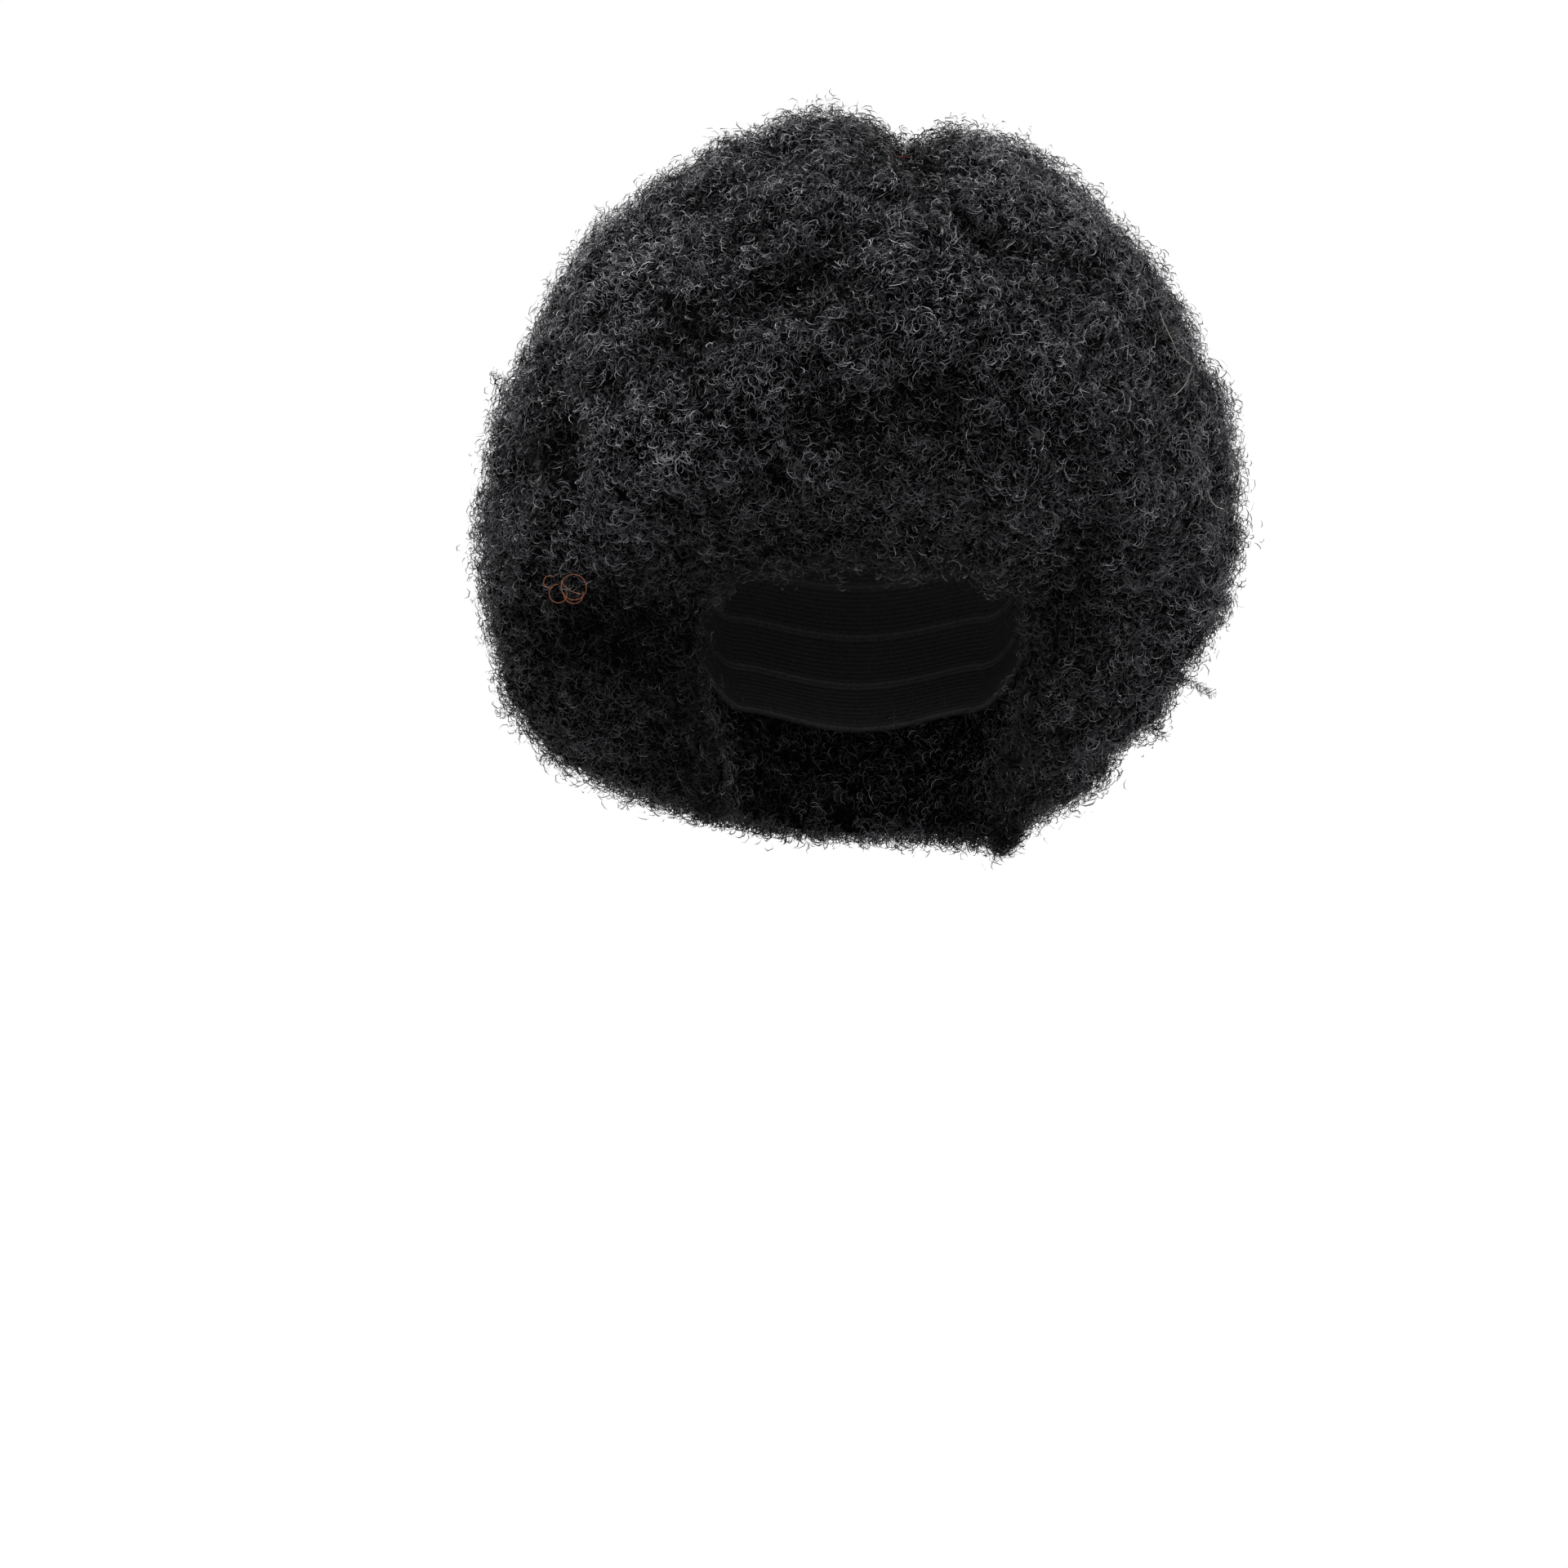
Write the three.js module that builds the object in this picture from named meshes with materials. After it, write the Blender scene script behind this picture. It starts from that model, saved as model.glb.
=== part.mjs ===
// A round, curly wig: a stretch cap with five sections of teased-out hair sewn to it.
// Millimetres, +Z up. The origin is the inside top of the cap, where it sits on the crown of the head.
// The face looks along -Y and the wearer's left is +X. Azimuth 0 is the front and 90 the wearer's left.
import * as THREE from "three";

// The head that the cap fits: an egg whose top is the origin
const HEAD = { halfWidth: 76, halfLength: 97, rise: 95 };
// The neck under it, which the lowest hair hangs against
const NECK = { halfWidth: 58, halfLength: 64 };

// The cap's wall, and the hem that thickens it inwards along the last part of its height
const CAP = { wall: 1.5, hem: 1.3, hemFrom: 0.9, columns: 40, rows: 10 };
// The cap's rim, as the angle down from the top of the head
const RIM = [
  { azimuth: 0, down: 60 },
  { azimuth: 45, down: 68 },
  { azimuth: 70, down: 97 },
  { azimuth: 100, down: 95 },
  { azimuth: 140, down: 115 },
  { azimuth: 180, down: 121 },
];

// The mass of hair: its top, and the height of the middle that its locks point away from
const MASS = { top: 118, middleZ: -45 };
// Its outline round the head: the widest radius and its level, then the lip at its foot.
// Fullness under 1 makes the lower half squarer, and over 1 makes it taper.
const OUTLINE = [
  { azimuth: 0, reach: 147, level: -42, lip: 66, foot: -190, fullness: 1.0 },
  { azimuth: 90, reach: 162, level: -60, lip: 64, foot: -191, fullness: 1.38 },
  { azimuth: 180, reach: 172, level: -50, lip: 72, foot: -189, fullness: 1.05 },
  { azimuth: 270, reach: 163, level: -72, lip: 64, foot: -178, fullness: 0.85 },
  { azimuth: 360, reach: 147, level: -42, lip: 66, foot: -190, fullness: 1.0 },
];
// The edge of the hair round the face, from the middle of the fringe down beside the cheek to the neck
const FACE_EDGE = [
  { azimuth: 0, z: -77 },
  { azimuth: 25, z: -78.5 },
  { azimuth: 40, z: -83 },
  { azimuth: 50, z: -92 },
  { azimuth: 56, z: -107 },
  { azimuth: 62, z: -130 },
  { azimuth: 72, z: -158 },
  { azimuth: 88, z: -192 },
];
// How far from that edge the hair has rounded up to its full depth, how thin it is at the edge, the radius that
// distances to the edge are measured on, and how closely columns and rows crowd towards it
const EDGE = { round: 38, thin: 4, meanRadius: 105, crowd: 1.5 };

// Swells and hollows of the mass, placed as seen from the front
const LOBES = [
  { x: -99, z: 42, wide: 30, tall: 26, rise: 4 },
  { x: -26, z: 31, wide: 28, tall: 18, rise: -5 },
  { x: -78, z: 7, wide: 22, tall: 24, rise: -6 },
  { x: -40, z: 0, wide: 24, tall: 20, rise: 4 },
  { x: -90, z: -22, wide: 28, tall: 30, rise: 6 },
  { x: -129, z: -36, wide: 11, tall: 34, rise: -12 },
  { x: -114, z: -70, wide: 26, tall: 20, rise: 7 },
  { x: -112, z: -112, wide: 40, tall: 26, rise: -10 },
  { x: -126, z: -166, wide: 28, tall: 14, rise: -12 },
  { x: 12, z: -20, wide: 36, tall: 22, rise: -4 },
  { x: 28, z: 28, wide: 30, tall: 26, rise: 4 },
  { x: 64, z: 52, wide: 34, tall: 16, rise: -5 },
  { x: 92, z: 70, wide: 30, tall: 18, rise: 4 },
  { x: 127, z: -70, wide: 16, tall: 34, rise: 5 },
  { x: 88, z: -108, wide: 26, tall: 34, rise: -8 },
];
// A furrow that runs from front to back over the top
const FURROW = { x: 20, wide: 15, deep: 11, fromZ: 60, toZ: 112 };
// The locks: rounded tufts, spread by the golden angle over the mass down to an angle from its top
const LOCKS = { count: 230, radius: 26, height: 11, vary: 0.3, level: 0.78, lowest: 152 };
const GOLDEN_ANGLE = 137.508;

// The gaps between neighbouring sections and off the cap, and where the crown ends: as an angle on the mass and
// as a share of the cap's height
const GAP = 0.4;
const OFF_CAP = 0.8;
const CROWN = { angle: 48, capShare: 0.4, rows: 10, gap: 1.4 };
const LOWER_ROWS = 24;
const RAISED_ROWS = 13;
const NECK_ROWS = 3;
// The sections round the head, each with its share of one ring of columns
const COLUMN_ANGLE = 4.5;
const SECTIONS = [
  { name: "hair_fringe", from: -54, to: 54, rows: RAISED_ROWS },
  { name: "hair_left", from: 54, to: 126, rows: LOWER_ROWS, faceSide: "left" },
  { name: "hair_back", from: 126, to: 234, rows: LOWER_ROWS },
  { name: "hair_right", from: 234, to: 306, rows: LOWER_ROWS, faceSide: "right" },
];

const HAIR_FINISH = new THREE.MeshStandardMaterial({ color: 0x141416, roughness: 0.55, metalness: 0 });
const CAP_FINISH = new THREE.MeshStandardMaterial({ color: 0x0e0e10, roughness: 0.9, metalness: 0 });

const radians = THREE.MathUtils.degToRad;
const mix = THREE.MathUtils.lerp;
const smooth = THREE.MathUtils.smoothstep;

// A number from 0 to 1 that looks random and is the same every time
function chance(index, salt) {
  const wave = Math.sin(index * 12.9898 + salt * 78.233) * 43758.5453;
  return wave - Math.floor(wave);
}

// A table's row at any value of its key column, easing from row to row or going straight
function readTable(table, key, value, straight = false) {
  const last = table.length - 1;
  const next = Math.min(Math.max(table.findIndex((row) => row[key] > value), 1), last);
  const above = value >= table[last][key] ? last : next;
  const [low, high] = [table[above - 1], table[above]];
  const even = THREE.MathUtils.clamp((value - low[key]) / (high[key] - low[key]), 0, 1);
  const share = straight ? even : smooth(even, 0, 1);
  return Object.fromEntries(Object.keys(low).map((name) => [name, mix(low[name], high[name], share)]));
}

const wholeTurn = (azimuth) => ((azimuth % 360) + 360) % 360;
const fromFront = (azimuth) => Math.abs(wholeTurn(azimuth + 180) - 180);

// A point at an azimuth and height on an oval round the axis
function ovalPoint(azimuth, halfWidth, halfLength, z) {
  const turn = radians(azimuth);
  const flat = Math.hypot(Math.sin(turn) * halfLength, Math.cos(turn) * halfWidth);
  const radius = flat === 0 ? 0 : (halfWidth * halfLength) / flat;
  return new THREE.Vector3(radius * Math.sin(turn), -radius * Math.cos(turn), z);
}

// A point on the cap: share runs from the top of the head to the rim, and out is the distance off the head
function capPoint(azimuth, share, out) {
  const down = radians(share * readTable(RIM, "azimuth", fromFront(azimuth)).down);
  const halfWidth = (HEAD.halfWidth + out) * Math.sin(down);
  const halfLength = (HEAD.halfLength + out) * Math.sin(down);
  return ovalPoint(azimuth, halfWidth, halfLength, (HEAD.rise + out) * Math.cos(down) - HEAD.rise);
}

// A point on the head or neck at a height, a distance off it
function headPoint(azimuth, z, out) {
  const above = THREE.MathUtils.clamp((z + HEAD.rise) / HEAD.rise, -1, 1);
  const share = Math.sqrt(1 - above * above);
  const neck = z < -HEAD.rise ? NECK : { halfWidth: 0, halfLength: 0 };
  const halfWidth = Math.max(HEAD.halfWidth * share, neck.halfWidth) + out;
  const halfLength = Math.max(HEAD.halfLength * share, neck.halfLength) + out;
  return ovalPoint(azimuth, halfWidth, halfLength, z);
}

// The outline of the whole mass: a dome down to its widest level, then in to the lip. Angle 0 is the top and 180 the lip.
function outlinePoint(azimuth, angle) {
  const row = readTable(OUTLINE, "azimuth", wholeTurn(azimuth));
  const lower = Math.max(angle - 90, 0);
  const upper = Math.min(angle, 90);
  const inward = Math.cos(radians(lower)) ** row.fullness;
  const downward = Math.sin(radians(lower)) ** row.fullness;
  const radius = angle < 90 ? row.reach * Math.sin(radians(upper)) : mix(row.lip, row.reach, inward);
  const z = angle < 90 ? mix(row.level, MASS.top, Math.cos(radians(upper))) : mix(row.level, row.foot, downward);
  const turn = radians(azimuth);
  return new THREE.Vector3(radius * Math.sin(turn), -radius * Math.cos(turn), z);
}

// The edge of the hair round the face as points of arc length and height, for measuring distance to it
const EDGE_POINTS = Array.from({ length: 89 }, (_, azimuth) => {
  const { z } = readTable(FACE_EDGE, "azimuth", azimuth, true);
  return new THREE.Vector2(radians(azimuth) * EDGE.meanRadius, z);
});
function depthAtEdge(azimuth, z) {
  const place = new THREE.Vector2(radians(fromFront(azimuth)) * EDGE.meanRadius, z);
  const distance = Math.min(...EDGE_POINTS.map((point) => point.distanceTo(place)));
  return Math.sin((Math.min(distance / EDGE.round, 1) * Math.PI) / 2);
}

const MIDDLE = new THREE.Vector3(0, 0, MASS.middleZ);
const TUFTS = Array.from({ length: LOCKS.count }, (_, i) => {
  const up = 1 - ((i + 0.5) / LOCKS.count) * (1 - Math.cos(radians(LOCKS.lowest)));
  const turn = radians(i * GOLDEN_ANGLE);
  const flat = Math.sqrt(1 - up * up);
  return {
    direction: new THREE.Vector3(flat * Math.sin(turn), -flat * Math.cos(turn), up),
    radius: LOCKS.radius * (1 + LOCKS.vary * (chance(i, 1) - 0.5)),
    height: LOCKS.height * (1 + LOCKS.vary * (chance(i, 2) - 0.5)),
  };
});

// How far the locks stand off the outline: each is a dome, and the highest of them wins, which fuses them to one mass
function lockRelief(point) {
  const away = point.clone().sub(MIDDLE);
  const radius = away.length();
  away.divideScalar(radius);
  const domes = TUFTS.map((tuft) => {
    const across = (radius * Math.acos(Math.min(away.dot(tuft.direction), 1))) / tuft.radius;
    return across < 1 ? tuft.height * Math.sqrt(1 - across * across) : 0;
  });
  return Math.max(...domes) - LOCKS.height * LOCKS.level;
}

// The large swells and hollows of the front, and the furrow over the top
function lobeRelief(point) {
  const front = smooth(-point.y, 0, 40);
  const swells = LOBES.map(
    (lobe) => lobe.rise * Math.exp(-(((point.x - lobe.x) / lobe.wide) ** 2) - ((point.z - lobe.z) / lobe.tall) ** 2),
  );
  const furrow = Math.exp(-(((point.x - FURROW.x) / FURROW.wide) ** 2)) * smooth(point.z, FURROW.fromZ, FURROW.toZ);
  return front * swells.reduce((sum, rise) => sum + rise, 0) - FURROW.deep * furrow;
}

// A point on the outside of the hair: the outline with its relief, thinned towards the edge round the face
function hairPoint(azimuth, angle) {
  const outline = outlinePoint(azimuth, angle);
  const relief = (lockRelief(outline) + lobeRelief(outline)) * smooth(180 - angle, 0, 25);
  const out = outline.clone().sub(MIDDLE).normalize();
  const full = outline.clone().addScaledVector(out, relief);
  const depth = depthAtEdge(azimuth, outline.z);
  if (depth === 1) return full;
  const thin = headPoint(azimuth, outline.z, CAP.wall + OFF_CAP + EDGE.thin);
  return thin.lerp(full, depth);
}

// The outline's angle at which a column reaches a height on its lower half
function angleAtHeight(azimuth, z) {
  const { level, foot, fullness } = readTable(OUTLINE, "azimuth", wholeTurn(azimuth));
  if (z > level) return THREE.MathUtils.radToDeg(Math.acos((z - level) / (MASS.top - level)));
  return 90 + THREE.MathUtils.radToDeg(Math.asin(Math.min((level - z) / (level - foot), 1) ** (1 / fullness)));
}

// The azimuth at which a height meets the edge beside the face
function edgeAzimuth(z) {
  const beside = FACE_EDGE.map((row) => ({ depth: -row.z, azimuth: row.azimuth }));
  return readTable(beside, "depth", -z, true).azimuth;
}

// A closed solid through loops of points: skins each pair of neighbours, and fills both ends unless the loops go all round
function loft(loops, allRound) {
  const corners = [];
  const face = (a, b, c) => {
    const same = a.distanceTo(b) < 1e-6 || b.distanceTo(c) < 1e-6 || c.distanceTo(a) < 1e-6;
    if (!same) corners.push(a, b, c);
  };
  const skins = allRound ? loops.length : loops.length - 1;
  for (let i = 0; i < skins; i++) {
    const [near, far] = [loops[i], loops[(i + 1) % loops.length]];
    near.forEach((point, j) => {
      const next = (j + 1) % near.length;
      const [a, b, c, d] = [point, near[next], far[next], far[j]];
      const shortAC = a.distanceTo(c) < b.distanceTo(d);
      face(a, b, shortAC ? c : d);
      face(shortAC ? a : b, c, d);
    });
  }
  if (!allRound) {
    const fill = (loop, flip) => {
      const flat = loop.map((p) => new THREE.Vector2(Math.hypot(p.x, p.y), p.z));
      for (const [a, b, c] of THREE.ShapeUtils.triangulateShape(flat, [])) {
        flip ? face(loop[a], loop[c], loop[b]) : face(loop[a], loop[b], loop[c]);
      }
    };
    fill(loops[0], false);
    fill(loops[loops.length - 1], true);
  }
  return new THREE.BufferGeometry().setFromPoints(corners);
}

const steps = (count) => Array.from({ length: count + 1 }, (_, i) => i / count);

function capLoop(azimuth) {
  const outside = steps(CAP.rows).map((share) => capPoint(azimuth, share, CAP.wall));
  const inside = steps(CAP.rows).map((share) => {
    const hem = smooth(share, CAP.hemFrom - 0.05, CAP.hemFrom);
    return capPoint(azimuth, share, -CAP.hem * hem);
  });
  return [...outside, ...inside.reverse()];
}

function makeCap() {
  const loops = steps(CAP.columns).slice(0, -1).map((share) => capLoop(share * 360));
  return loft(loops, true);
}

function crownLoop(azimuth) {
  const gapAngle = THREE.MathUtils.radToDeg(CROWN.gap / MASS.top) / 2;
  const outside = steps(CROWN.rows).map((share) => hairPoint(azimuth, share * (CROWN.angle - gapAngle)));
  const inside = steps(CAP.rows * CROWN.capShare).map((share) =>
    capPoint(azimuth, share * CROWN.capShare * (1 - CROWN.gap / HEAD.rise), CAP.wall + OFF_CAP),
  );
  return [...outside, ...inside.reverse()];
}

function makeCrown() {
  const columns = 360 / COLUMN_ANGLE;
  const loops = steps(columns).slice(0, -1).map((share) => crownLoop(share * 360));
  return loft(loops, true);
}

// One column of a section below the crown: down its outside, then up its inside.
// across runs over the section's width, and below the fringe the face side follows the edge round the face.
function sectionLoop(section, across) {
  const inset = THREE.MathUtils.radToDeg(GAP / HEAD.halfWidth) / 2;
  const gapAngle = THREE.MathUtils.radToDeg(CROWN.gap / MASS.top) / 2;
  const azimuthAt = (z) => {
    const crowd = mix(1, EDGE.crowd, smooth(-z, 20, 90));
    if (section.faceSide === "left") {
      return mix(Math.max(section.from, edgeAzimuth(z)) + inset, section.to - inset, across ** crowd);
    }
    if (section.faceSide === "right") {
      return mix(Math.min(section.to, 360 - edgeAzimuth(z)) - inset, section.from + inset, (1 - across) ** crowd);
    }
    return mix(section.from + inset, section.to - inset, across);
  };
  const straight = azimuthAt(0);
  const fringe = section.rows === RAISED_ROWS;
  const lowest = fringe ? angleAtHeight(straight, readTable(FACE_EDGE, "azimuth", fromFront(straight), true).z) : 180;
  const outside = steps(section.rows).map((share) => {
    const angle = mix(CROWN.angle + gapAngle, lowest, fringe ? 1 - (1 - share) ** EDGE.crowd : share);
    const guess = azimuthAt(outlinePoint(straight, angle).z);
    const azimuth = azimuthAt(outlinePoint(guess, angle).z);
    return hairPoint(azimuth, angle);
  });
  const foot = outside[outside.length - 1].z;
  const inside = steps(CAP.rows * (1 - CROWN.capShare)).map((share) => {
    const capShare = mix(CROWN.capShare * (1 + CROWN.gap / HEAD.rise), 1, share);
    const z = capPoint(straight, capShare, CAP.wall + OFF_CAP).z;
    return capPoint(azimuthAt(z), capShare, CAP.wall + OFF_CAP);
  });
  const rim = inside[inside.length - 1].z;
  const hanging = steps(NECK_ROWS).slice(1).map((share) => {
    const z = mix(rim, foot, share);
    return headPoint(azimuthAt(z), z, CAP.wall + OFF_CAP);
  });
  return [...outside, ...[...inside, ...hanging].reverse()];
}

function makeSection(section) {
  const columns = Math.round((section.to - section.from) / COLUMN_ANGLE);
  return loft(steps(columns).map((across) => sectionLoop(section, across)), false);
}

function addPiece(group, name, geometry, finish) {
  geometry.computeVertexNormals();
  const mesh = new THREE.Mesh(geometry, finish);
  mesh.name = name;
  group.add(mesh);
}

const wig = new THREE.Group();
addPiece(wig, "cap", makeCap(), CAP_FINISH);
addPiece(wig, "hair_crown", makeCrown(), HAIR_FINISH);
SECTIONS.forEach((section) => addPiece(wig, section.name, makeSection(section), HAIR_FINISH));

export default wig;
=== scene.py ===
# %% [markdown]
# # A round curly wig
# A wig of this kind is a stretch cap with rows of curled fibre sewn to it, teased out until the curls stand
# as one soft ball. This lesson loads the cap and the five sections of hair as plain solids, and then dresses
# them: a dark mass that fills each section, many thousands of curled fibres over it, and a knitted cap
# inside. Hair could be grown with a particle system, but then its form would stay hidden inside the system.
# Here every curl is a small strip of mesh that numpy works out, so the result is plain geometry.

# %% Load the frame
import bmesh
import bpy
import numpy as np
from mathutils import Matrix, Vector


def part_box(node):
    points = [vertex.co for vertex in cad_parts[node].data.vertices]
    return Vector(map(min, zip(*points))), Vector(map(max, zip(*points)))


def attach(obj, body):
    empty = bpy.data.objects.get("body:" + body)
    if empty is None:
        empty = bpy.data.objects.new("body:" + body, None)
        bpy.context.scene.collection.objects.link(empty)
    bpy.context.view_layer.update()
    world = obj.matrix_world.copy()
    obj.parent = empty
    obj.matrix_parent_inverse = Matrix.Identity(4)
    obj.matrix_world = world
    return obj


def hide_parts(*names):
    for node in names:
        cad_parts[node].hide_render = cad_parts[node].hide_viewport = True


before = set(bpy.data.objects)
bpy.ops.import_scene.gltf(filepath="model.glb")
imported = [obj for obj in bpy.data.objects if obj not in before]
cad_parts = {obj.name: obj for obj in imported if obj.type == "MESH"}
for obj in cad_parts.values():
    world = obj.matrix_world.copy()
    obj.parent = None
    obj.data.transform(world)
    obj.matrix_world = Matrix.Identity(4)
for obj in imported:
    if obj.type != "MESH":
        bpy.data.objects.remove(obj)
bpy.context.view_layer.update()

MM = 0.001

# %% [markdown]
# ## The form of the hair
# The hair is a dome down to its widest level, and below that it draws in to a lip at its foot. One short
# table gives the widest radius, its level and the lip at four sides, and everything between is eased. A
# sculpted mesh would do as well, but a formula can be asked for a point anywhere, which the curls need.
# All sizes are in millimetres and match the solids. Azimuth 0 is the front and 90 the wearer's left.

# %% Tables of the outline and helpers that read them
TOP = 118.0
MIDDLE = np.array([0.0, 0.0, -45.0])
OUTLINE = {
    "azimuth": [0, 90, 180, 270, 360],
    "reach": [147, 162, 172, 163, 147],
    "level": [-42, -60, -50, -72, -42],
    "lip": [66, 64, 72, 64, 66],
    "foot": [-190, -191, -189, -178, -190],
    "fullness": [1.0, 1.38, 1.05, 0.85, 1.0],
}


def eased(share):
    """The smooth step: three times the square less twice the cube."""
    return share * share * (3 - 2 * share)


def between(value, low, high):
    """How far a value is from low to high, held to 0..1 and eased."""
    return eased(np.clip((value - low) / (high - low), 0, 1))


def unit(vectors):
    """Vectors scaled to length 1."""
    return vectors / np.maximum(np.linalg.norm(vectors, axis=-1, keepdims=True), 1e-9)


def column_at(table, column, key, value, straight=False):
    """A column of a table at any value of its key column: the two rows round it, mixed by an eased share."""
    keys = np.asarray(table[key], float)
    below = np.clip(np.searchsorted(keys, value, side="right") - 1, 0, len(keys) - 2)
    share = np.clip((value - keys[below]) / (keys[below + 1] - keys[below]), 0, 1)
    share = share if straight else eased(share)
    cells = np.asarray(table[column], float)
    return cells[below] + (cells[below + 1] - cells[below]) * share


def round_axis(azimuth, radius, z):
    """A point from its azimuth in degrees, its distance from the upright axis and its height."""
    turn = np.radians(azimuth)
    return np.stack(np.broadcast_arrays(radius * np.sin(turn), -radius * np.cos(turn), z), -1)


def azimuth_of(points):
    """The azimuth of points in degrees, from their x and y."""
    return np.degrees(np.arctan2(points[..., 0], -points[..., 1]))


def outline_point(azimuth, angle):
    """A quarter ellipse from the top (0) to the widest level (90), then a superellipse to the lip (180)."""
    names = ["reach", "level", "lip", "foot", "fullness"]
    reach, level, lip, foot, fullness = [column_at(OUTLINE, name, "azimuth", azimuth % 360) for name in names]
    upper = np.radians(np.clip(angle, 0, 90))
    lower = np.radians(np.clip(angle - 90, 0, 90))
    inward = lip + (reach - lip) * np.clip(np.cos(lower), 0, 1) ** fullness
    downward = level + (foot - level) * np.sin(lower) ** fullness
    radius = np.where(angle < 90, reach * np.sin(upper), inward)
    z = np.where(angle < 90, level + (TOP - level) * np.cos(upper), downward)
    return round_axis(azimuth, radius, z)


print("outline at the wearer's left, widest:", outline_point(np.array(90.0), np.array(90.0)).round(1))

# %% [markdown]
# ## The hollow inside
# The cap and the inner side of the hair follow an egg-shaped hollow and a narrower one below it, both of an
# adult's size. A scanned form would be truer to one wearer, but a stretch cap fits many. Both hollows are
# ovals stacked along the axis, so one function gives a point on either at any height.

# %% The surfaces of the hollow
HEAD = {"half_width": 76.0, "half_length": 97.0, "rise": 95.0}
NECK = {"half_width": 58.0, "half_length": 64.0}
HALVES = ("half_width", "half_length")
CAP_WALL = 1.5
LINING_OUT = CAP_WALL + 0.8
RIM = {"azimuth": [0, 45, 70, 100, 140, 180], "down": [60, 68, 97, 95, 115, 121]}


def from_front(azimuth):
    """The angle away from the front, the same on both sides."""
    return np.abs((azimuth + 180) % 360 - 180)


def oval_point(azimuth, half_width, half_length, z):
    """A point on an oval at a true azimuth: radius = width * length / hypot(length sin, width cos)."""
    turn = np.radians(azimuth)
    flat = np.hypot(half_length * np.sin(turn), half_width * np.cos(turn))
    return round_axis(azimuth, half_width * half_length / np.maximum(flat, 1e-9), z)


def cap_point(azimuth, share, out):
    """A point on the cap: share goes from the top to the rim, out is the distance off the hollow."""
    down = np.radians(share * column_at(RIM, "down", "azimuth", from_front(azimuth)))
    wide, long = [(HEAD[half] + out) * np.sin(down) for half in HALVES]
    return oval_point(azimuth, wide, long, (HEAD["rise"] + out) * np.cos(down) - HEAD["rise"])


def head_point(azimuth, z, out):
    """A point on the hollow at a height: on its upper oval, or on the lower one where that is wider."""
    above = np.clip((z + HEAD["rise"]) / HEAD["rise"], -1, 1)
    share = np.sqrt(1 - above**2)
    low = z < -HEAD["rise"]
    wide, long = [np.maximum(HEAD[half] * share, np.where(low, NECK[half], 0)) + out for half in HALVES]
    return oval_point(azimuth, wide, long, z)


widest = head_point(np.array([0.0, 90.0]), np.array([-95.0, -95.0]), 0.0)
print("hollow at its widest:", widest.round(1).tolist())

# %% [markdown]
# ## Swells, locks and the edge of the front opening
# Teased hair isn't an even ball. It has swells and hollows a hand wide, a furrow over the top, and locks the
# size of a walnut that lean on each other. A noise would give lumps as well, but not these. Each lock is a
# small dome, and the highest dome wins at every point. Towards the edge of the front opening the hair thins
# to almost nothing, along the sine of the distance to that edge.

# %% Relief of the hair
FACE_EDGE = {
    "azimuth": [0, 25, 40, 50, 56, 62, 72, 88],
    "depth": [77, 78.5, 83, 92, 107, 130, 158, 192],
}
EDGE_ROUND, EDGE_THIN, EDGE_RADIUS = 38.0, 4.0, 105.0
LOBES = np.array([
    # x, z, wide, tall, rise, as seen from the front
    [-99, 42, 30, 26, 4], [-26, 31, 28, 18, -5], [-78, 7, 22, 24, -6], [-40, 0, 24, 20, 4],
    [-90, -22, 28, 30, 6], [-129, -36, 11, 34, -12], [-114, -70, 26, 20, 7], [-112, -112, 40, 26, -10],
    [-126, -166, 28, 14, -12], [12, -20, 36, 22, -4], [28, 28, 30, 26, 4], [64, 52, 34, 16, -5],
    [92, 70, 30, 18, 4], [127, -70, 16, 34, 5], [88, -108, 26, 34, -8],
])
FURROW = {"x": 20, "wide": 15, "deep": 11, "from_z": 60, "to_z": 112}
LOCKS = {"count": 230, "radius": 26.0, "height": 11.0, "vary": 0.3, "level": 0.78, "lowest": 152.0}
GOLDEN_ANGLE = 137.508
# Swells fade in over this depth in front of the middle, and all relief over these degrees above the lip
FRONT_FADE, LIP_FADE = 40.0, 25.0
LARGE, LOCK_SEED, SALT_SEED = 43758.5453, 12.9898, 78.233


def fraction_of_sine(seed):
    """A number from 0 to 1 that looks random and is always the same: the fraction of a large sine."""
    return np.modf(np.sin(seed) * LARGE)[0] % 1


def chance(index, salt):
    """The chance of a lock, from its index and a salt for each use."""
    return fraction_of_sine(index * LOCK_SEED + salt * SALT_SEED)


lock_index = np.arange(LOCKS["count"])
lock_up = 1 - (lock_index + 0.5) / LOCKS["count"] * (1 - np.cos(np.radians(LOCKS["lowest"])))
lock_out = round_axis(lock_index * GOLDEN_ANGLE, np.sqrt(1 - lock_up**2), lock_up)
lock_radius = LOCKS["radius"] * (1 + LOCKS["vary"] * (chance(lock_index, 1) - 0.5))
lock_height = LOCKS["height"] * (1 + LOCKS["vary"] * (chance(lock_index, 2) - 0.5))


def lock_relief(points):
    """The highest of the locks' domes: height times the root of 1 less the squared share of its radius."""
    away = points - MIDDLE
    distance = np.linalg.norm(away, axis=-1, keepdims=True)
    across = distance * np.arccos(np.clip(away / distance @ lock_out.T, -1, 1)) / lock_radius
    domes = lock_height * np.sqrt(np.clip(1 - across**2, 0, 1))
    return domes.max(-1) - LOCKS["height"] * LOCKS["level"]


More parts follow.
